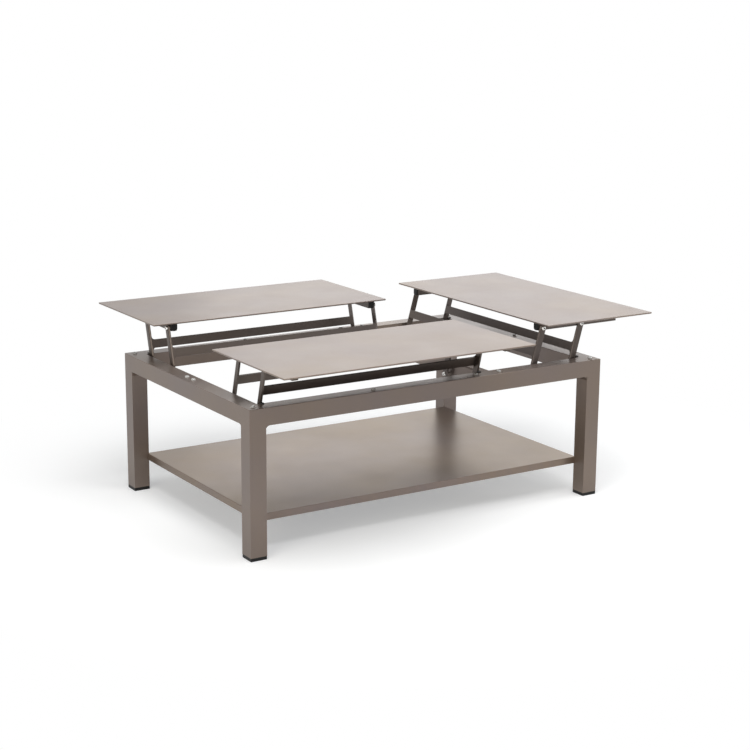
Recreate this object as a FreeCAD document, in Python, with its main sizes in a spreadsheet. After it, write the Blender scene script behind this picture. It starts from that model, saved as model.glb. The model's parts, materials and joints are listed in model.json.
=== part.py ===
import FreeCAD, Part
import Sketcher
import os

doc = FreeCAD.newDocument("lift_top_table")

# Driving sizes in millimetres and degrees
SIZES = {
    "frame_length": 1200,
    "frame_width": 800,
    "frame_height": 426,
    "tube_side": 50,
    "tube_wall": 2.5,
    "foot_height": 10,
    "foot_spigot": 18,
    "plug_clearance": 0.2,
    "shelf_height": 115,
    "shelf_lap": 5,
    "shelf_fold": 20,
    "shelf_sheet": 2.5,
    "shelf_bend": 2,
    "stiffener_width": 40,
    "stiffener_depth": 15,
    "stiffener_wall": 2,
    "stiffener_spacing": 380,
    "stiffener_end_gap": 1,
    "centre_rail_width": 25,
    "centre_rail_height": 44,
    "plate_sheet": 3,
    "plate_margin": 4,
    "ear_width": 36,
    "ear_drop": 13,
    "ear_round": 10,
    "top_overhang": 3,
    "left_overhang": 0.5,
    "end_overhang": 10,
    "top_seam": 3,
    "top_sheet": 5,
    "top_corner": 3,
    "bumper_height": 5,
    "bumper_diameter": 13,
    "bumper_inset": 23,
    "bumper_pair": 40,
    "bumper_seam_pair": 82,
    "seat_gap": 0.2,
    "arm_reach": 148,
    "arm_width": 20,
    "arm_round": 9.5,
    "arm_sheet": 6,
    "arm_offset": 9,
    "bend_outside": 7,
    "open_lean": 15.5,
    "closed_lean": 79,
    "pivot_spacing": 144,
    "pivot_drop": 17,
    "cross_bar_height": 26,
    "cross_bar_share": 0.493,
    "window_round": 9,
    "runner_width": 20,
    "runner_height": 25,
    "runner_wall": 2,
    "runner_length": 298,
    "runner_tail": 12,
    "cap_sheet": 4,
    "cap_spigot": 6,
    "bolt_diameter": 8,
    "washer_gap": 1.5,
    "running_gap": 0.3,
    "running_fit": 0.05,
    "pad_length": 11,
    "pad_width": 8,
    "pad_height": 3,
}
sheet = doc.addObject("Spreadsheet::Sheet", "Sizes")
for row, (alias, value) in enumerate(SIZES.items(), start=1):
    sheet.set(f"A{row}", alias)
    sheet.set(f"B{row}", str(value))
    sheet.setAlias(f"B{row}", alias)
doc.recompute()

# Sizes that follow from the driving ones
DERIVED = {
    "half_length": "Sizes.frame_length / 2",
    "half_width": "Sizes.frame_width / 2",
    "inner_x": "Derived.half_length - Sizes.tube_side",
    "inner_y": "Derived.half_width - Sizes.tube_side",
    "rail_middle": "Sizes.frame_height - Sizes.tube_side / 2",
    "short_length": "Sizes.frame_width + 2 * Sizes.top_overhang",
    "top_width": "(Derived.short_length - Sizes.top_seam) / 2",
    "seam_x": "Derived.half_length + Sizes.end_overhang - Derived.top_width - Sizes.top_seam / 2",
    "long_length": "Derived.seam_x - Sizes.top_seam / 2 + Derived.half_length + Sizes.left_overhang",
    "tops_middle": "Derived.long_length / 2 - Derived.half_length - Sizes.left_overhang",
    "centre_rail_x": "Derived.seam_x - Sizes.centre_rail_width / 2",
    "centre_rail_bottom": "Sizes.frame_height - Sizes.centre_rail_height",
    "plate_x": "Derived.centre_rail_x - Sizes.plate_sheet",
    "long_span": "Derived.plate_x + Derived.inner_x - 2 * Sizes.arm_offset",
    "short_span": "2 * (Derived.inner_y - Sizes.arm_offset)",
    "long_middle": "(Derived.plate_x - Derived.inner_x) / 2",
    "travel": "Sizes.arm_reach * (sin(Sizes.open_lean) + sin(Sizes.closed_lean))",
    "lift": "Sizes.arm_reach * (cos(Sizes.open_lean) - cos(Sizes.closed_lean))",
    "closed_z": "Sizes.frame_height + Sizes.bumper_height + Sizes.seat_gap",
    "open_z": "Derived.closed_z + Derived.lift",
    "lower_pivot_z": "Derived.closed_z - Sizes.pivot_drop - Sizes.arm_reach * cos(Sizes.closed_lean)",
    "upper_pivot_z": "Derived.open_z - Sizes.pivot_drop",
    "upper_shift": "Sizes.arm_reach * sin(Sizes.open_lean)",
    "arm_half": "Sizes.arm_width / 2",
    "pivot_inset": "(Derived.arm_half + Sizes.running_gap) / cos(Sizes.open_lean)"
                   " + (Sizes.frame_height - Derived.lower_pivot_z) * tan(Sizes.open_lean)",
    "inner_pivot": "Derived.pivot_inset + Sizes.pivot_spacing",
    "bar_middle": "Sizes.arm_reach * Sizes.cross_bar_share",
    "bar_low": "Derived.bar_middle - Sizes.cross_bar_height / 2",
    "bar_high": "Derived.bar_middle + Sizes.cross_bar_height / 2",
    "bolt_radius": "Sizes.bolt_diameter / 2",
    "bolt_hole": "Derived.bolt_radius + Sizes.running_fit",
    "runner_gap": "Sizes.arm_sheet + Sizes.washer_gap",
    "lower_bolt_length": "Sizes.running_gap + Sizes.arm_sheet + Sizes.arm_offset",
    "upper_bolt_length": "Sizes.running_gap + Derived.runner_gap",
    "box_middle": "(Sizes.end_overhang + Derived.travel - Sizes.left_overhang) / 2",
    "shelf_half_x": "Derived.inner_x + Sizes.shelf_lap",
    "shelf_half_y": "Derived.inner_y + Sizes.shelf_lap",
}
derived = doc.addObject("App::VarSet", "Derived")
for alias, formula in DERIVED.items():
    derived.addProperty("App::PropertyFloat", alias)
    derived.setExpression(alias, formula)
doc.recompute()

# Turns and directions
QUARTER = 90
UP = FreeCAD.Vector(0, 0, 1)
ALONG_X = FreeCAD.Vector(1, 0, 0)
ALONG_Y = FreeCAD.Vector(0, 1, 0)
ENDS = (-1, 1)
QUARTER_TURNS = {"front": 0, "right": 1, "back": 2, "left": -1}
TOPS = ("front", "back", "right")

pieces = []
origin_shift = FreeCAD.Vector(-derived.box_middle, 0, 0)


def number(formula):
    return float(derived.evalExpression(formula))


def placed(x, y, z, rotation=FreeCAD.Rotation()):
    return FreeCAD.Placement(FreeCAD.Vector(x, y, z), rotation)


def turned(quarters, axis=UP):
    return FreeCAD.Rotation(axis, quarters * QUARTER)


def keep(item, label, placement):
    item.Label = label
    item.Placement = FreeCAD.Placement(origin_shift, FreeCAD.Rotation()).multiply(placement)
    pieces.append(item)
    return item


# Sketches: every line and circle is tied to the sheet
def new_body(name):
    return doc.addObject("PartDesign::Body", name)


def new_sketch(body, plane):
    sketch = body.newObject("Sketcher::SketchObject", f"{body.Name}_sketch")
    support = next(item for item in body.Origin.OriginFeatures if item.Role == plane)
    sketch.AttachmentSupport = [(support, "")]
    sketch.MapMode = "FlatFace"
    return sketch


def tie(sketch, kind, items, formula):
    index = sketch.addConstraint(Sketcher.Constraint(kind, *items, number(formula)))
    sketch.setExpression(f"Constraints[{index}]", formula)


def tie_point(sketch, line, end, x=None, y=None):
    for kind, formula, axis in (("DistanceX", x, -2), ("DistanceY", y, -1)):
        if formula == "0":
            sketch.addConstraint(Sketcher.Constraint("PointOnObject", line, end, axis))
        elif formula is not None:
            tie(sketch, kind, (-1, 1, line, end), formula)


def polygon(sketch, points):
    places = [FreeCAD.Vector(number(x), number(y), 0) for x, y in points]
    first = sketch.GeometryCount
    for here, there in zip(places, places[1:] + places[:1]):
        sketch.addGeometry(Part.LineSegment(here, there))
    for index, (x, y) in enumerate(points):
        before = first + (index - 1) % len(points)
        sketch.addConstraint(Sketcher.Constraint("Coincident", before, 2, first + index, 1))
        tie_point(sketch, first + index, 1, x, y)


def rectangle(sketch, left, bottom, right, top):
    polygon(sketch, [(left, bottom), (right, bottom), (right, top), (left, top)])


def rounded(sketch, left, bottom, right, top, radius):
    low_x, low_y, high_x, high_y = (number(item) for item in (left, bottom, right, top))
    curve = number(radius)
    flats = [((low_x + curve, low_y), (high_x - curve, low_y)),
             ((high_x, low_y + curve), (high_x, high_y - curve)),
             ((high_x - curve, high_y), (low_x + curve, high_y)),
             ((low_x, high_y - curve), (low_x, low_y + curve))]
    centres = [(high_x - curve, low_y + curve), (high_x - curve, high_y - curve),
               (low_x + curve, high_y - curve), (low_x + curve, low_y + curve)]
    first = sketch.GeometryCount
    for start, end in flats:
        sketch.addGeometry(Part.LineSegment(FreeCAD.Vector(*start, 0), FreeCAD.Vector(*end, 0)))
    for index, centre in enumerate(centres):
        circle = Part.Circle(FreeCAD.Vector(*centre, 0), UP, curve)
        start = FreeCAD.Units.Quantity(f"{(index - 1) * QUARTER} deg").getValueAs("rad").Value
        end = FreeCAD.Units.Quantity(f"{index * QUARTER} deg").getValueAs("rad").Value
        sketch.addGeometry(Part.ArcOfCircle(circle, start, end))
    for index in range(len(flats)):
        arc = first + len(flats) + index
        following = first + (index + 1) % len(flats)
        sketch.addConstraint(Sketcher.Constraint("Tangent", first + index, 2, arc, 1))
        sketch.addConstraint(Sketcher.Constraint("Tangent", arc, 2, following, 1))
        if index:
            sketch.addConstraint(Sketcher.Constraint("Equal", first + len(flats), arc))
    for index, kind in enumerate(("Horizontal", "Vertical", "Horizontal", "Vertical")):
        sketch.addConstraint(Sketcher.Constraint(kind, first + index))
    tie(sketch, "Radius", (first + len(flats),), radius)
    tie_point(sketch, first, 1, y=bottom)
    tie_point(sketch, first + 1, 1, x=right)
    tie_point(sketch, first + 2, 1, y=top)
    tie_point(sketch, first + 3, 1, x=left)


def block(sketch, width, height):
    rectangle(sketch, f"-({width}) / 2", f"-({height}) / 2", f"({width}) / 2", f"({height}) / 2")


def circle(sketch, x, y, radius):
    place = FreeCAD.Vector(number(x), number(y), 0)
    index = sketch.addGeometry(Part.Circle(place, UP, number(radius)))
    tie_point(sketch, index, 3, x, y)
    tie(sketch, "Radius", (index,), radius)


# Features
def pad(body, sketch, length, downwards=False):
    feature = body.newObject("PartDesign::Pad", f"{body.Name}_pad")
    feature.Profile = sketch
    feature.Reversed = downwards
    feature.setExpression("Length", length)
    doc.recompute()
    return feature


def symmetric_pad(body, sketch, length):
    feature = pad(body, sketch, length)
    feature.SideType = "Symmetric"
    doc.recompute()
    return feature


def pocket(body, sketch, length=None, forwards=False):
    feature = body.newObject("PartDesign::Pocket", f"{body.Name}_pocket")
    feature.Profile = sketch
    feature.Reversed = forwards
    if length is None:
        feature.SideType = "Two sides"
        feature.Type = "ThroughAll"
        feature.Type2 = "ThroughAll"
    else:
        feature.setExpression("Length", length)
    doc.recompute()
    return feature


def revolve(body, sketch):
    feature = body.newObject("PartDesign::Revolution", f"{body.Name}_turned")
    feature.Profile = sketch
    feature.ReferenceAxis = (sketch, ["H_Axis"])
    doc.recompute()
    return feature


def soften(body, kind, size, chosen):
    base = body.Tip
    names = [f"Edge{index}" for index, edge in enumerate(base.Shape.Edges, start=1) if chosen(edge)]
    feature = body.newObject(f"PartDesign::{kind}", f"{body.Name}_{kind.lower()}")
    feature.Base = (base, names)
    feature.setExpression("Radius" if kind == "Fillet" else "Size", size)
    doc.recompute()
    return feature


def lies_at(edge, axis, level):
    box = edge.BoundBox
    low = getattr(box, f"{axis}Min")
    high = getattr(box, f"{axis}Max")
    slack = number("Sizes.running_fit / 2")
    return abs(low - level) < slack and abs(high - level) < slack


# Rectangular tube standing on its open end
def tube(name, length, width, height, wall, end_wall=None):
    body = new_body(name)
    outline = new_sketch(body, "XY_Plane")
    block(outline, width, height)
    pad(body, outline, length)
    bore = new_sketch(body, "XY_Plane")
    block(bore, f"{width} - 2 * {wall}", f"{height} - 2 * {wall}")
    depth = f"{length} - {end_wall}" if end_wall else length
    pocket(body, bore, depth, forwards=True)
    return body


def rail(side, length):
    body = tube(f"{side}_rail", length, "Sizes.tube_side", "Sizes.tube_side", "Sizes.tube_wall")
    across = number("Sizes.tube_side / 2")
    reach = number("Derived.half_width" if side in ("front", "back") else "Derived.half_length") - across
    turn = turned(QUARTER_TURNS[side])
    lying = placed(-number(length) / 2, -reach, number("Derived.rail_middle"), turned(1, ALONG_Y))
    return keep(body, f"{side}_rail", FreeCAD.Placement(FreeCAD.Vector(), turn).multiply(lying))


# Fixed frame: legs, rails and the centre rail with its pivot plates
corners = {"front_left": (-1, -1), "front_right": (1, -1), "back_left": (-1, 1), "back_right": (1, 1)}
leg_x = number("Derived.half_length - Sizes.tube_side / 2")
leg_y = number("Derived.half_width - Sizes.tube_side / 2")
for corner, (x_side, y_side) in corners.items():
    leg = tube(f"{corner}_leg", "Sizes.frame_height - Sizes.foot_height", "Sizes.tube_side",
               "Sizes.tube_side", "Sizes.tube_wall", "Sizes.tube_wall")
    keep(leg, f"{corner}_leg", placed(x_side * leg_x, y_side * leg_y, number("Sizes.foot_height")))

rail("front", "2 * Derived.inner_x")
rail("back", "2 * Derived.inner_x")
rail("left", "2 * Derived.inner_y")
rail("right", "2 * Derived.inner_y")

centre_rail = tube("centre_rail", "2 * Derived.inner_y", "Sizes.centre_rail_height",
                   "Sizes.centre_rail_width", "Sizes.tube_wall")
across_frame = turned(1).multiply(turned(1, ALONG_Y))
keep(centre_rail, "centre_rail",
     placed(number("Derived.seam_x"), -number("Derived.inner_y"),
            number("Sizes.frame_height - Sizes.centre_rail_height / 2"), across_frame))


# Pivot plate lapped on the centre rail's face, with two ears that hang down to the pivots
def pivot_plate(side):
    body = new_body(f"{side}_pivot_plate")
    strip = new_sketch(body, "XY_Plane")
    strip_top = "Sizes.frame_height - Sizes.plate_margin - Derived.lower_pivot_z"
    rectangle(strip, "0", "Derived.centre_rail_bottom - Derived.lower_pivot_z",
              "Derived.inner_pivot + Sizes.ear_width / 2", strip_top)
    pad(body, strip, "Sizes.plate_sheet")
    ears = new_sketch(body, "XY_Plane")
    for pivot in ("Derived.pivot_inset", "Derived.inner_pivot"):
        rounded(ears, f"{pivot} - Sizes.ear_width / 2", "-Sizes.ear_drop",
                f"{pivot} + Sizes.ear_width / 2", f"{strip_top} - Sizes.plate_margin", "Sizes.ear_round")
    pad(body, ears, "Sizes.plate_sheet")
    base_x = number("Derived.plate_x" if side == "front" else "Derived.centre_rail_x")
    standing = turned(QUARTER_TURNS[side] + 1).multiply(turned(1, ALONG_X))
    reach = number("Derived.inner_y") * (-1 if side == "front" else 1)
    keep(body, f"{side}_pivot_plate", placed(base_x, reach, number("Derived.lower_pivot_z"), standing))


pivot_plate("front")
pivot_plate("back")


# Shelf folded from sheet, its corners notched round the legs
def notched(sketch, inset):
    far_x = f"Derived.shelf_half_x - {inset}"
    far_y = f"Derived.shelf_half_y - {inset}"
    near_x = f"Derived.inner_x - {inset}"
    near_y = f"Derived.inner_y - {inset}"
    quarter = [(far_x, near_y), (near_x, near_y), (near_x, far_y)]
    points = list(quarter)
    points += [(f"-({x})", y) for x, y in reversed(quarter)]
    points += [(f"-({x})", f"-({y})") for x, y in quarter]
    points += [(x, f"-({y})") for x, y in reversed(quarter)]
    polygon(sketch, points)


shelf = new_body("shelf")
tray = new_sketch(shelf, "XY_Plane")
notched(tray, "0")
pad(shelf, tray, "Sizes.shelf_fold")
fold_top = number("Sizes.shelf_fold")
long_enough = number("Sizes.tube_side")
soften(shelf, "Fillet", "Sizes.shelf_bend",
       lambda edge: lies_at(edge, "Z", fold_top) and edge.Length > long_enough)
hollow = new_sketch(shelf, "XY_Plane")
notched(hollow, "Sizes.shelf_sheet")
pocket(shelf, hollow, "Sizes.shelf_fold - Sizes.shelf_sheet", forwards=True)
keep(shelf, "shelf", placed(0, 0, number("Sizes.shelf_height - Sizes.shelf_fold")))


def stiffener(side, x_side):
    body = new_body(f"{side}_shelf_stiffener")
    section = new_sketch(body, "XZ_Plane")
    half = "Sizes.stiffener_width / 2"
    inside = f"{half} - Sizes.stiffener_wall"
    polygon(section, [(f"-({half})", "-Sizes.stiffener_depth"), (half, "-Sizes.stiffener_depth"),
                      (half, "0"), (inside, "0"), (inside, "Sizes.stiffener_wall - Sizes.stiffener_depth"),
                      (f"-({inside})", "Sizes.stiffener_wall - Sizes.stiffener_depth"),
                      (f"-({inside})", "0"), (f"-({half})", "0")])
    symmetric_pad(body, section, "2 * (Derived.inner_y - Sizes.shelf_sheet - Sizes.stiffener_end_gap)")
    keep(body, f"{side}_shelf_stiffener",
         placed(x_side * number("Sizes.stiffener_spacing / 2"), 0,
                number("Sizes.shelf_height - Sizes.shelf_sheet")))


stiffener("left", -1)
stiffener("right", 1)


# Small turned pieces, each made once and set out in groups
def turned_piece(name, length, radius):
    body = new_body(name)
    profile = new_sketch(body, "XY_Plane")
    rectangle(profile, "0", "0", length, radius)
    revolve(body, profile)
    return body


def group(label, master, places, placement=FreeCAD.Placement()):
    shapes = []
    for place in places:
        shape = master.Shape.copy()
        shape.Placement = place.multiply(master.Shape.Placement)
        shapes.append(shape)
    feature = doc.addObject("Part::Feature", label)
    feature.Shape = Part.makeCompound(shapes)
    return keep(feature, label, placement)


lower_bolt = turned_piece("lower_bolt", "Derived.lower_bolt_length", "Derived.bolt_radius")
upper_bolt = turned_piece("upper_bolt", "Derived.upper_bolt_length", "Derived.bolt_radius")
bumper = turned_piece("bumper", "Sizes.bumper_height", "Sizes.bumper_diameter / 2")

foot = new_body("foot")
sole = new_sketch(foot, "XY_Plane")
block(sole, "Sizes.tube_side", "Sizes.tube_side")
pad(foot, sole, "Sizes.foot_height")
spigot_side = "Sizes.tube_side - 2 * (Sizes.tube_wall + Sizes.plug_clearance)"
spigot = new_sketch(foot, "XY_Plane")
block(spigot, spigot_side, spigot_side)
pad(foot, spigot, "Sizes.foot_height + Sizes.foot_spigot")
group("feet", foot, [placed(x * leg_x, y * leg_y, 0) for x, y in corners.values()])

cap = new_body("cap")
cover = new_sketch(cap, "XY_Plane")
block(cover, "Sizes.runner_width", "Sizes.runner_height")
pad(cap, cover, "Sizes.cap_sheet", downwards=True)
tongue = new_sketch(cap, "XY_Plane")
block(tongue, "Sizes.runner_width - 2 * (Sizes.runner_wall + Sizes.plug_clearance)",
      "Sizes.runner_height - 2 * (Sizes.runner_wall + Sizes.plug_clearance)")
pad(cap, tongue, "Sizes.cap_spigot")

stop_pad = new_body("stop_pad")
side_view = new_sketch(stop_pad, "YZ_Plane")
polygon(side_view, [("-Sizes.pad_length", "0"), ("0", "0"),
                    ("-Sizes.pad_height * tan(Sizes.open_lean)", "Sizes.pad_height"),
                    ("-Sizes.pad_length", "Sizes.pad_height")])
symmetric_pad(stop_pad, side_view, "Sizes.pad_width")

# Clear bumpers on the rails and legs
row_y = number("Derived.half_width - Sizes.bumper_inset")
corner_x = number("Derived.half_length - Sizes.bumper_inset")
rail_x = number("Derived.centre_rail_x")
seam_step = number("Sizes.bumper_seam_pair / 2")
pair_step = number("Sizes.bumper_pair / 2")
tops_middle = number("Derived.tops_middle")
bumper_spots = [(-corner_x, -pair_step), (-corner_x, pair_step), (corner_x, 0)]
for side in ENDS:
    for x in (-corner_x, tops_middle, rail_x - seam_step, rail_x + seam_step, corner_x):
        bumper_spots.append((x, side * row_y))
upright = turned(-1, ALONG_Y)
rail_top = number("Sizes.frame_height")
group("rail_bumpers", bumper, [placed(x, y, rail_top, upright) for x, y in bumper_spots])


# Each top has its own station: X along the pivots, Y inwards from the rail's inner face
def station(top):
    places = {"front": ("Derived.long_middle", "-Derived.inner_y"),
              "back": ("Derived.long_middle", "Derived.inner_y"),
              "right": ("Derived.inner_x", "0")}
    x, y = (number(item) for item in places[top])
    return placed(x, y, 0, turned(QUARTER_TURNS[top]))


def span_of(top):
    return "Derived.short_span" if top == "right" else "Derived.long_span"


def facing(end, outwards):
    return turned(0 if (end > 0) == outwards else 2)


def spots(top, pivots, height, distance, outwards):
    reach = number(f"{span_of(top)} / 2 + {distance}")
    level = number(height)
    return [placed(end * reach, number(pivot), level, facing(end, outwards))
            for pivot in pivots for end in ENDS]


LOWER_PIVOTS = ("Derived.pivot_inset", "Derived.inner_pivot")
UPPER_PIVOTS = tuple(f"{pivot} - Derived.upper_shift" for pivot in LOWER_PIVOTS)
fixed_bolts = []
fixed_pads = []
for top in TOPS:
    base = station(top)
    heads = spots(top, LOWER_PIVOTS, "Derived.lower_pivot_z",
                  "(-Sizes.arm_sheet - Sizes.running_gap)", True)
    fixed_bolts += [base.multiply(place) for place in heads]
    arm_line = number(f"{span_of(top)} / 2 - Sizes.arm_sheet / 2")
    fixed_pads += [base.multiply(placed(end * arm_line, 0, rail_top)) for end in ENDS]
group("lower_pivot_bolts", lower_bolt, fixed_bolts)
group("stop_pads", stop_pad, fixed_pads)


# Arm frame bent from one sheet: two arms joined by a cross bar at their inward edge
def arm_frame(top, name, pivot):
    body = new_body(f"{top}_{name}_arms")
    half_span = f"{span_of(top)} / 2"
    inside = f"{half_span} - Sizes.arm_sheet"
    far = "Derived.arm_half + Sizes.tube_side"
    foot_end = "-Derived.arm_half"
    head_end = "Sizes.arm_reach + Derived.arm_half"
    blank = new_sketch(body, "XY_Plane")
    rounded(blank, f"-({half_span})", f"-({far})", half_span, "Derived.arm_half", "Sizes.bend_outside")
    blank.setExpression("AttachmentOffset.Base.z", foot_end)
    pad(body, blank, "Sizes.arm_reach + Sizes.arm_width")
    trough = new_sketch(body, "XY_Plane")
    rectangle(trough, f"-({inside})", f"-({far}) - Sizes.tube_side", inside,
              "Derived.arm_half - Sizes.arm_sheet")
    pocket(body, trough)
    windows = new_sketch(body, "XZ_Plane")
    rounded(windows, f"-({inside})", "Derived.bar_high", inside, f"{head_end} + Sizes.tube_side",
            "Sizes.window_round")
    rounded(windows, f"-({inside})", f"{foot_end} - Sizes.tube_side", inside, "Derived.bar_low",
            "Sizes.window_round")
    pocket(body, windows)
    trim = new_sketch(body, "YZ_Plane")
    rounded(trim, foot_end, foot_end, "Derived.arm_half", head_end, "Sizes.arm_round")
    rectangle(trim, f"-({far}) - Sizes.tube_side", f"{foot_end} - Sizes.tube_side",
              f"{far} + Sizes.tube_side", f"{head_end} + Sizes.tube_side")
    pocket(body, trim)
    holes = new_sketch(body, "YZ_Plane")
    circle(holes, "0", "0", "Derived.bolt_hole")
    circle(holes, "0", "Sizes.arm_reach", "Derived.bolt_hole")
    pocket(body, holes)
    lean = FreeCAD.Rotation(ALONG_X, number("Sizes.open_lean"))
    leaning = placed(0, number(pivot), number("Derived.lower_pivot_z"), lean)
    keep(body, f"{top}_{name}_arms", station(top).multiply(leaning))


# Runner under a top, open at its inner end
def runner(top, label, end):
    body = tube(label, "Sizes.runner_length", "Sizes.runner_width", "Sizes.runner_height",
                "Sizes.runner_wall", "Sizes.runner_wall")
    return keep(body, label, station(top).multiply(runner_place(top, end)))


def runner_place(top, end):
    reach = number(f"{span_of(top)} / 2 - Derived.runner_gap - Sizes.runner_width / 2")
    inner_end = number("Derived.inner_pivot - Derived.upper_shift + Sizes.runner_tail")
    level = number("Derived.open_z - Sizes.runner_height / 2")
    return placed(end * reach, inner_end, level, turned(1, ALONG_X))


# Top sheet in its open place
def top_sheet(top):
    body = new_body(f"{top}_top_sheet")
    outline = new_sketch(body, "XY_Plane")
    length = "Derived.short_length" if top == "right" else "Derived.long_length"
    rounded(outline, f"-{length} / 2", "0", f"{length} / 2", "Derived.top_width", "Sizes.top_corner")
    pad(body, outline, "Sizes.top_sheet")
    overhang = "Sizes.end_overhang" if top == "right" else "Sizes.top_overhang"
    outer_edge = -number(f"Sizes.tube_side + {overhang} + Derived.travel")
    sideways = {"front": "Derived.tops_middle - Derived.long_middle",
                "back": "Derived.long_middle - Derived.tops_middle", "right": "0"}
    place = placed(number(sideways[top]), outer_edge, number("Derived.open_z"))
    keep(body, f"{top}_top_sheet", station(top).multiply(place))


END_NAMES = {"front": ("left", "right"), "back": ("right", "left"), "right": ("front", "back")}
for top in TOPS:
    arm_frame(top, "inner", "Derived.inner_pivot")
    arm_frame(top, "outer", "Derived.pivot_inset")
    top_sheet(top)
    for end, end_name in zip(ENDS, END_NAMES[top]):
        runner(top, f"{top}_{end_name}_runner", end)
    group(f"{top}_runner_caps", cap, [runner_place(top, end) for end in ENDS], station(top))
    heads = spots(top, UPPER_PIVOTS, "Derived.upper_pivot_z", "Sizes.running_gap", False)
    group(f"{top}_upper_bolts", upper_bolt, heads, station(top))

doc.recompute()

# Every object is checked before the pieces are written
for item in doc.Objects:
    if "Invalid" in item.State or "Error" in item.State:
        raise RuntimeError(f"{item.Label} did not build: {item.State}")
os.makedirs("parts", exist_ok=True)
for item in pieces:
    if item.Shape.isNull() or not item.Shape.isValid():
        raise RuntimeError(f"{item.Label} has no valid shape")
    item.Shape.exportStep(f"parts/{item.Label}.step")
    print(item.Label, len(item.Shape.Solids), round(item.Shape.Volume))
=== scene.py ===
# %% [markdown]
# A low lounge table stands with its three top sections raised on swinging arms.
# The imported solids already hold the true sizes, so this script loads them as a fixed frame
# and spends its effort on softened edges, fasteners, finishes, light and the camera.

# %% Load the frame
import json
import math

import bmesh
import bpy
from mathutils import Matrix, Vector


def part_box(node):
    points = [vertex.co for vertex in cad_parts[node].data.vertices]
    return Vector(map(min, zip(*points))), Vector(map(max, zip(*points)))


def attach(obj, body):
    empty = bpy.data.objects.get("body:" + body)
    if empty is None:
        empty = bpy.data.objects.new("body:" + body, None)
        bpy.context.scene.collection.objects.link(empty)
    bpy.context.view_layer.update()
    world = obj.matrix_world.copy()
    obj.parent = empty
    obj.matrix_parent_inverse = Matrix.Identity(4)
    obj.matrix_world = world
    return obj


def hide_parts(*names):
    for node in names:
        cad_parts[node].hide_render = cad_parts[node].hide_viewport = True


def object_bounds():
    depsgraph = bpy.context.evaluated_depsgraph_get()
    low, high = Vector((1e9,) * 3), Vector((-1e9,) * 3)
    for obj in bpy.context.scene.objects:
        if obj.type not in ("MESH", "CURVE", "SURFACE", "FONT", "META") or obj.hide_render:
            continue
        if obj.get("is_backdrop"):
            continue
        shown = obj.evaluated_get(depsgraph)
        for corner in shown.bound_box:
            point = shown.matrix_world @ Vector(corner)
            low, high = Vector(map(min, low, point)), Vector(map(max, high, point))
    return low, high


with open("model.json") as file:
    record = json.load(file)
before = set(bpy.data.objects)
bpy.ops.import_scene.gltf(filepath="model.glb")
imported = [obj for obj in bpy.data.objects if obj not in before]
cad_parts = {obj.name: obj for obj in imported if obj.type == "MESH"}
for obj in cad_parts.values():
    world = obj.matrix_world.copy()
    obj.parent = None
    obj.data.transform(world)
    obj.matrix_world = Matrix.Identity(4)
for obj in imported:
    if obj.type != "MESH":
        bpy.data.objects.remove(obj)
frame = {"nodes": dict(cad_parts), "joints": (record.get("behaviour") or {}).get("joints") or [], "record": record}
cad_low, cad_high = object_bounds()
scene = bpy.context.scene
scene.view_settings.view_transform = "Standard"
print("CAD box", [round(v, 3) for v in (*cad_low, *cad_high)])

# %% [markdown]
# The camera stands in front of the table and to its left, a little above the raised tops.
# Its place and turn were solved from the straight edges of the legs, rails and tops,
# so a long lens with no shift reproduces the perspective. The turn could be three chained angles,
# but a matrix of right, up and backwards is easier to follow.

# %% Camera
FOCAL_SHARE = 1685.72 / 750
SENSOR_WIDTH, VIEW_END = 36, 60
CAMERA_PLACE = (-2.734436, -4.22169, 1.56063)
YAW, PITCH, ROLL = -0.566413, -0.235410, 0.007629
camera_data = bpy.data.cameras.new("camera")
camera_data.sensor_width = SENSOR_WIDTH
camera_data.lens = SENSOR_WIDTH * FOCAL_SHARE
camera_data.clip_end = VIEW_END
camera = bpy.data.objects.new("camera", camera_data)
scene.collection.objects.link(camera)
level_ahead = Vector((-math.sin(YAW), math.cos(YAW), 0))
ahead = math.cos(PITCH) * level_ahead + Vector((0, 0, math.sin(PITCH)))
level_right = Vector((math.cos(YAW), math.sin(YAW), 0))
level_up = level_right.cross(ahead)
right = math.cos(ROLL) * level_right + math.sin(ROLL) * level_up
up = math.cos(ROLL) * level_up - math.sin(ROLL) * level_right
turn = Matrix((right, up, -ahead)).transposed().to_4x4()
camera.matrix_world = Matrix.Translation(CAMERA_PLACE) @ turn
scene.camera = camera
print("camera lens", round(camera_data.lens, 2), "mm")

# %% [markdown]
# A studio sweep is white behind and under the object. A picture of a studio could surround the
# table, but a plain white world is cleaner. Most light falls from a big overhead box, so the world
# gives only a little fill to rough surfaces, and it is white where the camera, a reflection or a
# clear piece looks straight at it.

# %% World
WORLD_LIGHT, WHITE = 0.26, (1, 1, 1, 1)


def combined(tree, operation, first, second):
    node = tree.nodes.new("ShaderNodeMath")
    node.operation = operation
    tree.links.new(first, node.inputs[0])
    tree.links.new(second, node.inputs[1])
    return node.outputs[0]


world = bpy.data.worlds.new("studio")
scene.world = world
world.use_nodes = True
tree = world.node_tree
background = tree.nodes["Background"]
background.inputs["Color"].default_value = WHITE
path = tree.nodes.new("ShaderNodeLightPath")
seen = combined(tree, "MAXIMUM", path.outputs["Is Camera Ray"], path.outputs["Is Glossy Ray"])
seen = combined(tree, "MAXIMUM", seen, path.outputs["Is Transmission Ray"])
level = tree.nodes.new("ShaderNodeMapRange")
level.inputs["To Min"].default_value = WORLD_LIGHT
level.inputs["To Max"].default_value = 1
tree.links.new(seen, level.inputs["Value"])
tree.links.new(level.outputs["Result"], background.inputs["Strength"])
print("world fill", WORLD_LIGHT)


# %% [markdown]
# The floor is a flat sheet of paper that takes the shadow. One square face is enough for it,
# because all that happens on it is in its material.

# %% Floor sheet
FLOOR_HALF = 16


def to_mesh(name, bm):
    mesh = bpy.data.meshes.new(name)
    bm.to_mesh(mesh)
    bm.free()
    return mesh


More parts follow.
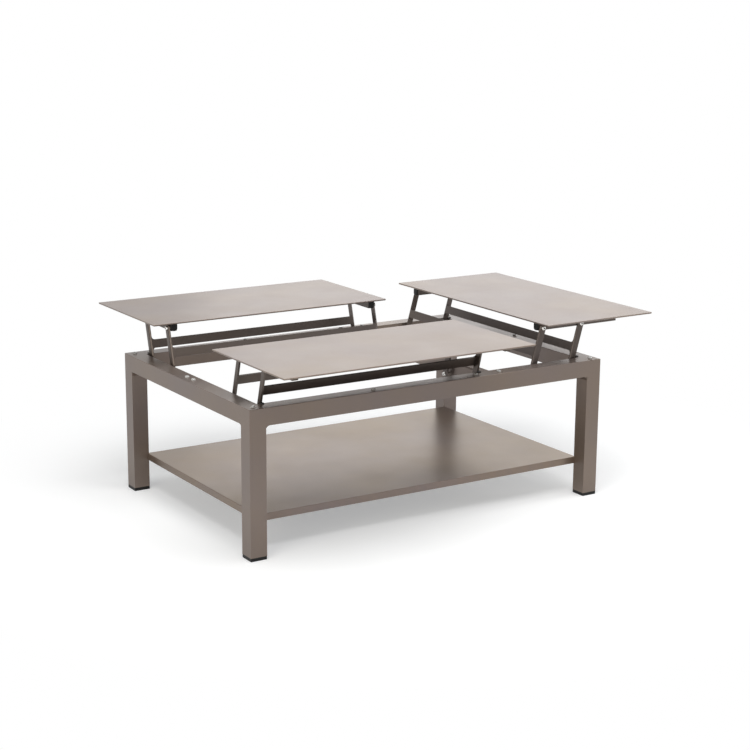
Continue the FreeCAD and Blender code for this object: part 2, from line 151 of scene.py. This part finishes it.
def link_mesh(name, bm):
    made = bpy.data.objects.new(name, to_mesh(name, bm))
    scene.collection.objects.link(made)
    return made


bm = bmesh.new()
bmesh.ops.create_grid(bm, x_segments=1, y_segments=1, size=FLOOR_HALF)
floor = link_mesh("floor", bm)
floor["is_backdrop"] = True
print("floor", FLOOR_HALF * 2, "m wide")

# %% [markdown]
# Near the table the paper glows just enough for the camera, and for reflections in the coat,
# to carry it to white, and it is darker to all other rays, so it throws little light back up.
# Further out both see it fade into the white sweep, so no horizon line is left behind the tops.

# %% Floor paper
PAPER_FOR_LIGHT, PAPER_SEEN = 0.50, 0.71
FLOOR_GLOW, GLOW_TONE = 0.36, (0.96, 0.985, 1, 1)
FADE_START, FADE_END = 0.85, 1.55
floor_paper = bpy.data.materials.new("floor_paper")
floor_paper.use_nodes = True
tree = floor_paper.node_tree
tree.nodes.clear()
path = tree.nodes.new("ShaderNodeLightPath")
seen = combined(tree, "MAXIMUM", path.outputs["Is Camera Ray"], path.outputs["Is Glossy Ray"])
paper = tree.nodes.new("ShaderNodeBsdfDiffuse")
paper_tone = tree.nodes.new("ShaderNodeMapRange")
paper_tone.inputs["To Min"].default_value = PAPER_FOR_LIGHT
paper_tone.inputs["To Max"].default_value = PAPER_SEEN
tree.links.new(seen, paper_tone.inputs["Value"])
tree.links.new(paper_tone.outputs["Result"], paper.inputs["Color"])
glow = tree.nodes.new("ShaderNodeEmission")
glow.inputs["Color"].default_value = GLOW_TONE
strength = tree.nodes.new("ShaderNodeMath")
strength.operation = "MULTIPLY"
strength.inputs[1].default_value = FLOOR_GLOW
tree.links.new(seen, strength.inputs[0])
tree.links.new(strength.outputs[0], glow.inputs["Strength"])
near = tree.nodes.new("ShaderNodeAddShader")
tree.links.new(paper.outputs[0], near.inputs[0])
tree.links.new(glow.outputs[0], near.inputs[1])
print("paper", PAPER_FOR_LIGHT, "to", PAPER_SEEN, "and glow", FLOOR_GLOW)

# %% Floor fade
where = tree.nodes.new("ShaderNodeTexCoord")
distance = tree.nodes.new("ShaderNodeVectorMath")
distance.operation = "LENGTH"
fade = tree.nodes.new("ShaderNodeMapRange")
fade.interpolation_type = "SMOOTHSTEP"
fade.inputs["From Min"].default_value = FADE_START
fade.inputs["From Max"].default_value = FADE_END
tree.links.new(where.outputs["Object"], distance.inputs[0])
tree.links.new(distance.outputs["Value"], fade.inputs["Value"])
white = tree.nodes.new("ShaderNodeEmission")
sweep = tree.nodes.new("ShaderNodeMixShader")
tree.links.new(combined(tree, "MULTIPLY", fade.outputs["Result"], seen), sweep.inputs["Fac"])
tree.links.new(near.outputs[0], sweep.inputs[1])
tree.links.new(white.outputs[0], sweep.inputs[2])
out = tree.nodes.new("ShaderNodeOutputMaterial")
tree.links.new(sweep.outputs[0], out.inputs["Surface"])
floor_paper.cycles.emission_sampling = "NONE"
floor.data.materials.append(floor_paper)
print("floor fades from", FADE_START, "to", FADE_END, "m")


# %% [markdown]
# Four soft boxes light the table: a wide one overhead and a little to the front, a smaller warm
# one low on the left that opens up the left faces, one low on the right that reaches in under the
# shelf, and a weak one behind that draws a sheen along the sheet tops. Wide boxes are chosen over
# points or a sun because they leave soft shadows and broad reflections.

# %% Soft boxes
WARM = (1, 0.94, 0.84)


def soft_box(name, place, target, width, height, watts, tone=(1, 1, 1)):
    data = bpy.data.lights.new(name, "AREA")
    data.shape = "RECTANGLE"
    data.size, data.size_y = width, height
    data.energy = watts
    data.color = tone
    lamp = bpy.data.objects.new(name, data)
    scene.collection.objects.link(lamp)
    aim = (Vector(target) - Vector(place)).to_track_quat("-Z", "Y").to_matrix().to_4x4()
    lamp.matrix_world = Matrix.Translation(place) @ aim


soft_box("overhead_box", (-0.1, -0.85, 3.2), (-0.1, 0, 0.4), 3.8, 3.2, watts=126)
soft_box("left_box", (-3.8, -2.2, 1.3), (-0.4, -0.3, 0.3), 2.2, 1.6, watts=50, tone=WARM)
soft_box("right_box", (3.4, -1.0, 0.9), (0.45, -0.25, 0.05), 1.6, 1.0, watts=36)
soft_box("sweep_box", (3.4, 4.2, 1.7), (0.2, 0, 0.4), 3.6, 1.8, watts=17)


# %% [markdown]
# Every metal piece wears the same bronze-grey powder coat with fine metal flake in it. Powder melts
# into a satin film with a slight orange-peel skin, so the finish is one partly metallic shader with
# a slow colour drift, a fine speckle, a bump of a fraction of a millimetre and a slow wave that
# bends reflections as thin sheet does. A painted picture could hold all this, but noise needs no
# unwrapping, and Object coordinates keep the grain fixed to each piece as it swings.

# %% Powder coat
FLAKE, GLOSS_SPREAD = 0.6, 0.10
DRIFT_SCALE, SPECK_SCALE, GLOSS_SCALE, SKIN_SCALE, WAVE_SCALE = 3.1, 620, 7.3, 900, 2.6
SKIN_STRENGTH, SKIN_DEPTH, WAVE_DEPTH = 0.10, 0.0004, 0.006


def coat(name, tone, roughness, wave, drift=0.05, grain=0.05, rim=(1, 1, 1)):
    material = bpy.data.materials.new(name)
    material.use_nodes = True
    tree = material.node_tree
    shader = tree.nodes["Principled BSDF"]
    shader.inputs["Metallic"].default_value = FLAKE
    shader.inputs["Specular Tint"].default_value = (*rim, 1)
    where = tree.nodes.new("ShaderNodeTexCoord")

    def noise(scale, detail, rough):
        node = tree.nodes.new("ShaderNodeTexNoise")
        node.inputs["Scale"].default_value = scale
        node.inputs["Detail"].default_value = detail
        node.inputs["Roughness"].default_value = rough
        tree.links.new(where.outputs["Object"], node.inputs["Vector"])
        return node.outputs["Fac"]

    def ramp(source, low, high, stops):
        node = tree.nodes.new("ShaderNodeValToRGB")
        for element, stop, colour in zip(node.color_ramp.elements, stops, (low, high)):
            element.position = stop
            element.color = (*colour, 1)
        tree.links.new(source, node.inputs["Fac"])
        return node.outputs["Color"]

    def bump(source, strength, depth):
        node = tree.nodes.new("ShaderNodeBump")
        node.inputs["Strength"].default_value = strength
        node.inputs["Distance"].default_value = depth
        tree.links.new(source, node.inputs["Height"])
        return node

    warm = [tone[0] * (1 + drift), tone[1], tone[2] * (1 - 1.5 * drift)]
    cool = [tone[0] * (1 - drift), tone[1] * (1 - drift), tone[2] * (1 + 0.5 * drift)]
    slow = ramp(noise(DRIFT_SCALE, 3, 0.55), cool, warm, (0.3, 0.7))
    dark_speck, light_speck = [1 - grain] * 3, [1 + grain * 0.5] * 3
    speck = ramp(noise(SPECK_SCALE, 2, 0.5), dark_speck, light_speck, (0.35, 0.65))
    tint = tree.nodes.new("ShaderNodeMix")
    tint.data_type = "RGBA"
    tint.blend_type = "MULTIPLY"
    tint.inputs["Factor"].default_value = 1
    tree.links.new(slow, tint.inputs["A"])
    tree.links.new(speck, tint.inputs["B"])
    tree.links.new(tint.outputs["Result"], shader.inputs["Base Color"])
    gloss = tree.nodes.new("ShaderNodeMapRange")
    gloss.inputs["To Min"].default_value = roughness
    gloss.inputs["To Max"].default_value = roughness + GLOSS_SPREAD
    tree.links.new(noise(GLOSS_SCALE, 4, 0.6), gloss.inputs["Value"])
    tree.links.new(gloss.outputs["Result"], shader.inputs["Roughness"])
    skin = bump(noise(SKIN_SCALE, 2, 0.5), SKIN_STRENGTH, SKIN_DEPTH)
    ripple = bump(noise(WAVE_SCALE, 2, 0.4), wave, WAVE_DEPTH)
    tree.links.new(skin.outputs["Normal"], ripple.inputs["Normal"])
    tree.links.new(ripple.outputs["Normal"], shader.inputs["Normal"])
    return material


# %% [markdown]
# The frame, the tops, the arms and the shelf get a coat each. The tops' coat is a shade lighter,
# painted light for the stronger light on the level sheets, and the arms' coat is much darker, painted
# shade for the shade the tops cast on them. Sheet ripples more than tube, so the
# tops and the shelf have the stronger wave, and the shelf's rim light is tinted warm.

# %% Four coats
BRONZE = (0.207, 0.170, 0.147)


def shade(tone, share):
    return [c * share for c in tone]


frame_coat = coat("frame_powder_coat", shade(BRONZE, 0.95), roughness=0.285, wave=0.25)
# The tops' coat is lifted 1.12 times: painted light for the light the level sheets catch.
top_coat = coat("top_powder_coat_painted_light", shade(BRONZE, 1.12), roughness=0.30, wave=0.6)
# The arms' coat is cut to about half: painted shade for the shade of the tops above them.
arm_coat = coat("arm_powder_coat_painted_shade", shade(BRONZE, 0.48), roughness=0.30, wave=0.1)
shelf_coat = coat("shelf_powder_coat", BRONZE, roughness=0.28, wave=0.9, drift=0.07,
                  rim=(0.94, 0.91, 0.85))
print("coats", frame_coat.name, top_coat.name, arm_coat.name, shelf_coat.name)


# %% [markdown]
# The small pieces need four more finishes: turned stainless for bolts and washers, moulded black
# plastic for feet and caps, rubber for the stop pads, and clear silicone for the bumpers. One
# fine noise shades, roughens and bumps each of them, which is enough at their size.

# %% Steel, plastic, rubber and silicone
GRAIN_DETAIL, GRAIN_DEPTH = 3, 0.0003
SHADE_SPREAD, GLOSS_SHARES = (0.88, 1.1), (0.8, 1.2)


def small_finish(name, tone, roughness, scale, bump, metal=0.0, clear=0.0, shine=0.5):
    material = bpy.data.materials.new(name)
    material.use_nodes = True
    tree = material.node_tree
    shader = tree.nodes["Principled BSDF"]
    shader.inputs["Metallic"].default_value = metal
    shader.inputs["Transmission Weight"].default_value = clear
    shader.inputs["Specular IOR Level"].default_value = shine
    where = tree.nodes.new("ShaderNodeTexCoord")
    grain = tree.nodes.new("ShaderNodeTexNoise")
    grain.inputs["Scale"].default_value = scale
    grain.inputs["Detail"].default_value = GRAIN_DETAIL
    tree.links.new(where.outputs["Object"], grain.inputs["Vector"])
    tones = tree.nodes.new("ShaderNodeValToRGB")
    for element, share in zip(tones.color_ramp.elements, SHADE_SPREAD):
        element.color = (*[min(1, c) for c in shade(tone, share)], 1)
    tree.links.new(grain.outputs["Fac"], tones.inputs["Fac"])
    tree.links.new(tones.outputs["Color"], shader.inputs["Base Color"])
    gloss = tree.nodes.new("ShaderNodeMapRange")
    gloss.inputs["To Min"].default_value = roughness * GLOSS_SHARES[0]
    gloss.inputs["To Max"].default_value = roughness * GLOSS_SHARES[1]
    tree.links.new(grain.outputs["Fac"], gloss.inputs["Value"])
    tree.links.new(gloss.outputs["Result"], shader.inputs["Roughness"])
    relief = tree.nodes.new("ShaderNodeBump")
    relief.inputs["Strength"].default_value = bump
    relief.inputs["Distance"].default_value = GRAIN_DEPTH
    tree.links.new(grain.outputs["Fac"], relief.inputs["Height"])
    tree.links.new(relief.outputs["Normal"], shader.inputs["Normal"])
    return material


STEEL, BLACK, MILKY = (0.70, 0.69, 0.67), (0.012, 0.012, 0.012), (0.88, 0.88, 0.86)
stainless = small_finish("stainless_steel", STEEL, 0.24, 900, 0.05, metal=1.0)
black_plastic = small_finish("black_plastic", BLACK, 0.45, 1100, 0.15, shine=0.2)
black_rubber = small_finish("black_rubber", BLACK, 0.55, 700, 0.25)
silicone = small_finish("clear_silicone", MILKY, 0.14, 300, 0.03, clear=0.5)
print("small finishes", stainless.name, black_plastic.name, black_rubber.name, silicone.name)

# %% [markdown]
# The record names a finish slot for every solid. One table from slot to material dresses them all,
# and only the shelf, which shares the frame's slot, is given its own rippled coat.

# %% Dress the CAD nodes
FINISHES = {"frame_coat": frame_coat, "top_coat": top_coat, "arm_coat": arm_coat,
            "stainless": stainless, "black_plastic": black_plastic,
            "black_rubber": black_rubber, "clear_bumper": silicone}
for part in frame["record"]["subparts"]:
    mesh = frame["nodes"][part["node"]].data
    mesh.materials.clear()
    mesh.materials.append(shelf_coat if part["node"] == "shelf" else FINISHES[part["material_slot"]])


# %% [markdown]
# A drawn tube or a folded sheet never has a razor edge: the corner turns over a millimetre or so and
# carries a thin line of light. A Bevel modifier would round every edge alike. A cube stretched to
# the solid's own box and bevelled along chosen edges gives the line only where it belongs,
# so the sheet tops, legs, rails and runners are stood for by such blocks.

# %% Helpers for softened blocks
MM = 0.001
TOUCH = 1e-6
SHARP_ANGLE = math.radians(35)


def stretched(bm, low, high):
    size = [b - a for a, b in zip(low, high)]
    middle = [(a + b) / 2 for a, b in zip(low, high)]
    place = Matrix.Translation(middle) @ Matrix.Diagonal((*size, 1))
    bmesh.ops.create_cube(bm, size=1, matrix=place)


def edge_ends(edge):
    return edge.verts[0].co, edge.verts[1].co


def runs_along(edge, axis):
    start, end = edge_ends(edge)
    return all(abs(start[k] - end[k]) < TOUCH for k in range(3) if k != axis)


def lies_on(edge, axis, level):
    return all(abs(point[axis] - level) < TOUCH for point in edge_ends(edge))


def round_over(bm, edges, radius, segments):
    bmesh.ops.bevel(bm, geom=edges, offset=radius, offset_type="OFFSET", segments=segments,
                    profile=0.5, affect="EDGES", clamp_overlap=True, material=-1)


def finish_piece(bm, name, body, slot, *nodes, smooth=False):
    bmesh.ops.recalc_face_normals(bm, faces=bm.faces)
    for face in bm.faces:
        face.smooth = smooth
    piece = link_mesh(name, bm)
    if smooth:
        piece.data.set_sharp_from_angle(angle=SHARP_ANGLE)
    piece.data.materials.append(FINISHES[slot])
    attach(piece, body)
    if nodes:
        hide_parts(*nodes)
    return piece


print("rounded edges count as sharp past", round(math.degrees(SHARP_ANGLE)), "degrees")

# %% [markdown]
# Each top is one thin sheet. Its corners are nipped round and its upper edge is only just broken,
# but its lower edge is well rounded, so that from above the sheet looks as thin as it is.

# %% Sheet tops
TOPS = ("front", "back", "right")
SHEET_CORNER, SHEET_UPPER_EDGE, SHEET_LOWER_EDGE = 3 * MM, 0.8 * MM, 3.6 * MM
for top in TOPS:
    low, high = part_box(f"{top}_top_sheet")
    bm = bmesh.new()
    stretched(bm, low, high)
    round_over(bm, [e for e in bm.edges if runs_along(e, 2)], SHEET_CORNER, 5)
    round_over(bm, [e for e in bm.edges if lies_on(e, 2, high.z)], SHEET_UPPER_EDGE, 3)
    round_over(bm, [e for e in bm.edges if lies_on(e, 2, low.z)], SHEET_LOWER_EDGE, 5)
    panel = finish_piece(bm, f"{top}_top_panel", f"{top}_top", "top_coat", f"{top}_top_sheet")
    print(panel.name, [round(v, 3) for v in panel.dimensions])

# %% [markdown]
# On a leg only the edges that stand free are rounded. Where a rail butts against it the welded joint
# is ground flush, so those edges stay square and no seam shows.

# %% Legs
EDGE = 1.2 * MM
LEFT_RIGHT, FRONT_BACK = (("left", 0), ("right", 1)), (("front", 0), ("back", 1))
for x_name, x_end in LEFT_RIGHT:
    for y_name, y_end in FRONT_BACK:
        node = f"{y_name}_{x_name}_leg"
        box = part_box(node)
        outer_x, outer_y = box[x_end].x, box[y_end].y
        inner_x, inner_y = box[1 - x_end].x, box[1 - y_end].y
        bm = bmesh.new()
        stretched(bm, *box)
        free = [e for e in bm.edges
                if (lies_on(e, 0, outer_x) and lies_on(e, 1, outer_y))
                or (lies_on(e, 0, inner_x) and lies_on(e, 1, inner_y))
                or (lies_on(e, 2, box[1].z) and (lies_on(e, 0, outer_x) or lies_on(e, 1, outer_y)))]
        round_over(bm, free, EDGE, 3)
        finish_piece(bm, f"{node}_tube", "frame", "frame_coat", node)
        print(node, "rounded on", len(free), "edges")

# %% [markdown]
# Rails and runners are drawn tubes, so only the edges along their length are rounded, and their
# ends stay flat where they meet a leg or a cap.

# %% Rails and runners
RUNNER_EDGE = 2 * MM
RAIL_AXES = {"front_rail": 0, "back_rail": 0, "left_rail": 1, "right_rail": 1, "centre_rail": 1}
RUNNERS = {"front": ("left", "right"), "back": ("left", "right"), "right": ("front", "back")}


def softened_tube(node, axis, radius, body, slot):
    bm = bmesh.new()
    stretched(bm, *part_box(node))
    round_over(bm, [e for e in bm.edges if runs_along(e, axis)], radius, 3)
    finish_piece(bm, f"{node}_tube", body, slot, node)


for node, axis in RAIL_AXES.items():
    softened_tube(node, axis, EDGE, "frame", "frame_coat")
for top, names in RUNNERS.items():
    axis = 0 if top == "right" else 1
    for name in names:
        softened_tube(f"{top}_{name}_runner", axis, RUNNER_EDGE, f"{top}_top", "arm_coat")


# %% [markdown]
# The frame is welded, and inside each corner the bead between a rail's underside and the leg is
# dressed to a small hollow curve. A point spun through a quarter turn draws the curve, one more
# point closes it into a face, and an extrusion carries it across the tube. It is built once and
# copied into the eight corners.

# %% Weld fillet
WELD, WELD_STEPS = 12 * MM, 8
tube_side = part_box("front_left_leg")[1].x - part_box("front_left_leg")[0].x
weld_width = tube_side - 2 * EDGE
bm = bmesh.new()
start = bm.verts.new((WELD, -weld_width / 2, 0))
bmesh.ops.spin(bm, geom=[start], cent=(WELD, 0, -WELD), axis=(0, 1, 0), angle=-math.pi / 2,
               steps=WELD_STEPS)
curve = sorted(bm.verts, key=lambda v: v.co.x)
corner = bm.verts.new((0, -weld_width / 2, 0))
face = bm.faces.new([corner, *curve])
raised = bmesh.ops.extrude_face_region(bm, geom=[face])
bmesh.ops.translate(bm, vec=(0, weld_width, 0),
                    verts=[v for v in raised["geom"] if isinstance(v, bmesh.types.BMVert)])
bmesh.ops.recalc_face_normals(bm, faces=bm.faces)
weld_master = to_mesh("weld_fillet", bm)
print("weld fillet", len(weld_master.polygons), "faces")


# %% Weld fillets in the corners
def copies(bm, master, places):
    for place in places:
        before = len(bm.verts)
        bm.from_mesh(master)
        bm.verts.ensure_lookup_table()
        bmesh.ops.transform(bm, matrix=place, verts=bm.verts[before:])


rail_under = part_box("front_rail")[0].z
places = []
for x_name, x_end, x_turn in (("left", 1, 0), ("right", 0, 2)):
    for y_name, y_end, y_turn in (("front", 1, 1), ("back", 0, 3)):
        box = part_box(f"{y_name}_{x_name}_leg")
        middle = (box[0] + box[1]) / 2
        along_x = Vector((box[x_end].x, middle.y, rail_under))
        along_y = Vector((middle.x, box[y_end].y, rail_under))
        for spot, quarter in ((along_x, x_turn), (along_y, y_turn)):
            turn = Matrix.Rotation(quarter * math.pi / 2, 4, "Z")
            places.append(Matrix.Translation(spot) @ turn)
bm = bmesh.new()
copies(bm, weld_master, places)
finish_piece(bm, "weld_fillets", "frame", "frame_coat", smooth=True)
print("weld fillets", len(places))

# %% [markdown]
# Feet are moulded plugs as wide as the leg. A block under each leg, rounded on its upright edges
# and round the sole, is all of a foot that shows.

# %% Feet
FOOT_EDGE = 1.6 * MM
bm = bmesh.new()
for x_name, _ in LEFT_RIGHT:
    for y_name, _ in FRONT_BACK:
        low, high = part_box(f"{y_name}_{x_name}_leg")
        stretched(bm, (low.x, low.y, cad_low[2]), (high.x, high.y, low.z))
soles = [e for e in bm.edges if runs_along(e, 2) or lies_on(e, 2, cad_low[2])]
round_over(bm, soles, FOOT_EDGE, 3)
finish_piece(bm, "foot_plugs", "frame", "black_plastic", "feet")
print("feet rounded on", len(soles), "edges")

# %% [markdown]
# The caps on the runners' inner ends are moulded too. Each is a thin block with big corner curves
# and a softer edge on the face that looks inwards.

# %% Runner caps
CAP_WIDTH, CAP_SHEET, CAP_ROUND, CAP_EDGE = 20 * MM, 4 * MM, 8 * MM, 1.4 * MM
for top in TOPS:
    low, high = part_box(f"{top}_runner_caps")
    line = 1 if top == "right" else 0
    inward = 1 - line
    face = high[inward] if top == "front" else low[inward]
    behind = face - CAP_SHEET if top == "front" else face + CAP_SHEET
    bm = bmesh.new()
    for start in (low[line], high[line] - CAP_WIDTH):
        a, b = low.copy(), high.copy()
        a[line], b[line] = start, start + CAP_WIDTH
        a[inward], b[inward] = min(face, behind), max(face, behind)
        stretched(bm, a, b)
    round_over(bm, [e for e in bm.edges if runs_along(e, inward)], CAP_ROUND, 6)
    round_over(bm, [e for e in bm.edges if lies_on(e, inward, face)], CAP_EDGE, 3)
    caps = finish_piece(bm, f"{top}_end_caps", f"{top}_top", "black_plastic", f"{top}_runner_caps")
    print(caps.name, [round(v, 3) for v in caps.dimensions])

# %% [markdown]
# The bumpers are small clear domes that the closed tops rest on. A short cylinder whose rim is
# bevelled until it domes is built once, and copied along the rails: one at each corner, one in the
# middle of each long top, a pair astride each seam, a pair on the left rail and one on the right.

# %% Bumpers
low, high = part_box("rail_bumpers")
rail_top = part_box("front_rail")[1].z
bumper_high = high.z - rail_top
BUMPER_RADIUS, BUMPER_DOME = 6.5 * MM, 3.6 * MM
SEAM_STEP, PAIR_STEP = 41 * MM, 20 * MM
bm = bmesh.new()
bmesh.ops.create_cone(bm, cap_ends=True, segments=32, radius1=BUMPER_RADIUS, radius2=BUMPER_RADIUS,
                      depth=bumper_high, matrix=Matrix.Translation((0, 0, bumper_high / 2)))
round_over(bm, [e for e in bm.edges if lies_on(e, 2, bumper_high)], BUMPER_DOME, 6)
bumper_master = to_mesh("bumper_dome", bm)
west, east = low.x + BUMPER_RADIUS, high.x - BUMPER_RADIUS
south, north = low.y + BUMPER_RADIUS, high.y - BUMPER_RADIUS
panel_low, panel_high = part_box("front_top_sheet")
panel_middle = (panel_low.x + panel_high.x) / 2
rail_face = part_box("centre_rail")[0].x
spots = [(west, -PAIR_STEP), (west, PAIR_STEP), (east, 0)]
for y in (south, north):
    for x in (west, panel_middle, rail_face - SEAM_STEP, rail_face + SEAM_STEP, east):
        spots.append((x, y))
bm = bmesh.new()
copies(bm, bumper_master, [Matrix.Translation((x, y, rail_top)) for x, y in spots])
finish_piece(bm, "bumper_domes", "frame", "clear_bumper", "rail_bumpers", smooth=True)
print("bumpers", len(spots))

# %% [markdown]
# The pivots are button-head screws: a low dome with a hexagon socket. A Boolean could cut the
# socket, but bridging keeps the faces clean. The dome is a short cylinder with a bevelled rim. Its
# flat crown is taken out, a hexagon is set into the hole and bridged to it, and the hexagon is
# pushed down to make the socket.

# %% Screw head
HEAD_RADIUS, HEAD_HIGH, HEAD_DOME = 7.2 * MM, 4.2 * MM, 3.4 * MM
SOCKET_RADIUS, SOCKET_DEEP = 2.7 * MM, 2.4 * MM
bm = bmesh.new()
bmesh.ops.create_cone(bm, cap_ends=True, segments=30, radius1=HEAD_RADIUS, radius2=HEAD_RADIUS,
                      depth=HEAD_HIGH, matrix=Matrix.Translation((0, 0, HEAD_HIGH / 2)))
round_over(bm, [e for e in bm.edges if lies_on(e, 2, HEAD_HIGH)], HEAD_DOME, 6)
crown = max(bm.faces, key=lambda f: f.calc_center_median().z)
rim = list(crown.edges)
bmesh.ops.delete(bm, geom=[crown], context="FACES_ONLY")
hexagon = bmesh.ops.create_circle(bm, cap_ends=False, segments=6, radius=SOCKET_RADIUS,
                                  matrix=Matrix.Translation((0, 0, HEAD_HIGH)))
lip = list({e for v in hexagon["verts"] for e in v.link_edges})
bmesh.ops.bridge_loops(bm, edges=rim + lip)
sunk = bmesh.ops.extrude_edge_only(bm, edges=lip)
sunk_points = [v for v in sunk["geom"] if isinstance(v, bmesh.types.BMVert)]
bmesh.ops.translate(bm, vec=(0, 0, -SOCKET_DEEP), verts=sunk_points)
sunk_edges = [e for e in sunk["geom"] if isinstance(e, bmesh.types.BMEdge)]
bmesh.ops.holes_fill(bm, edges=sunk_edges, sides=0)
bmesh.ops.recalc_face_normals(bm, faces=bm.faces)
head_master = to_mesh("button_head", bm)
print("screw head", len(head_master.polygons), "faces")

# %% [markdown]
# A spacer holds each arm off the face behind it, and a washer sits between arm and runner. Both are
# rings, so a small upright rectangle is spun once round the bolt.

# %% Spacer and washer
BOLT_RADIUS, ARM_SHEET, RUNNING_GAP = 4 * MM, 6 * MM, 0.3 * MM
ARM_OFFSET, WASHER_GAP = 9 * MM, 1.5 * MM
SPACER_RADIUS, WASHER_RADIUS = 7 * MM, 8 * MM


def ring_master(name, outer, thick):
    bm = bmesh.new()
    outline = ((BOLT_RADIUS, 0), (outer, 0), (outer, thick), (BOLT_RADIUS, thick))
    start = [bm.verts.new((r, 0, z)) for r, z in outline]
    loop = [bm.edges.new((a, b)) for a, b in zip(start, start[1:] + start[:1])]
    bmesh.ops.spin(bm, geom=start + loop, cent=(0, 0, 0), axis=(0, 0, 1), angle=2 * math.pi,
                   steps=30, use_merge=True)
    bmesh.ops.recalc_face_normals(bm, faces=bm.faces)
    return to_mesh(name, bm)


spacer_master = ring_master("spacer", SPACER_RADIUS, ARM_OFFSET - RUNNING_GAP)
washer_master = ring_master("washer", WASHER_RADIUS, WASHER_GAP - 2 * RUNNING_GAP)
print("spacer and washer", len(spacer_master.polygons) + len(washer_master.polygons), "faces")


# %% [markdown]
# The joints' own places say where the lower screws go, and the solid pins say where the upper ones
# go. Lower heads and spacers stay with the frame, and upper heads and washers ride with their top.

# %% Screws at the pivots
def facing(spot, axis, sign):
    direction = Vector((0, 0, 0))
    direction[axis] = sign
    return Matrix.Translation(spot) @ direction.to_track_quat("Z", "Y").to_matrix().to_4x4()


def hardware(name, body, master, places):
    bm = bmesh.new()
    copies(bm, master, places)
    finish_piece(bm, name, body, "stainless", smooth=True)


joint_spots = {joint["name"]: Vector(joint["pos_m"]) for joint in frame["joints"]}
lower_heads, lower_spacers = [], []
for top in TOPS:
    line = 1 if top == "right" else 0
    cross = 1 - line
    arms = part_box(f"{top}_inner_arms")
    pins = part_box(f"{top}_upper_bolts")
    upper_heads, upper_washers = [], []
    for end, outward in ((0, -1), (1, 1)):
        arm_back = arms[end][line] + outward * RUNNING_GAP
        arm_front = arms[end][line] - outward * (ARM_SHEET + RUNNING_GAP)
        for name in ("fold", "outer_fold"):
            spot = joint_spots[f"{top}_{name}"].copy()
            spot[line] = arm_front
            lower_heads.append(facing(spot, line, -outward))
            spot[line] = arm_back
            lower_spacers.append(facing(spot, line, outward))
        for reach in (pins[0][cross] + BOLT_RADIUS, pins[1][cross] - BOLT_RADIUS):
            spot = (pins[0] + pins[1]) / 2
            spot[cross] = reach
            spot[line] = pins[end][line]
            upper_heads.append(facing(spot, line, outward))
            spot[line] = arm_front
            upper_washers.append(facing(spot, line, -outward))
    hardware(f"{top}_upper_heads", f"{top}_top", head_master, upper_heads)
    hardware(f"{top}_upper_washers", f"{top}_top", washer_master, upper_washers)
    print(top, "upper heads", len(upper_heads))
hardware("lower_heads", "frame", head_master, lower_heads)
hardware("lower_spacers", "frame", spacer_master, lower_spacers)
print("lower heads", len(lower_heads))

# %% Sizes and finish
low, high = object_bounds()
print("visual box", [round(v, 3) for v in (*low, *high)])
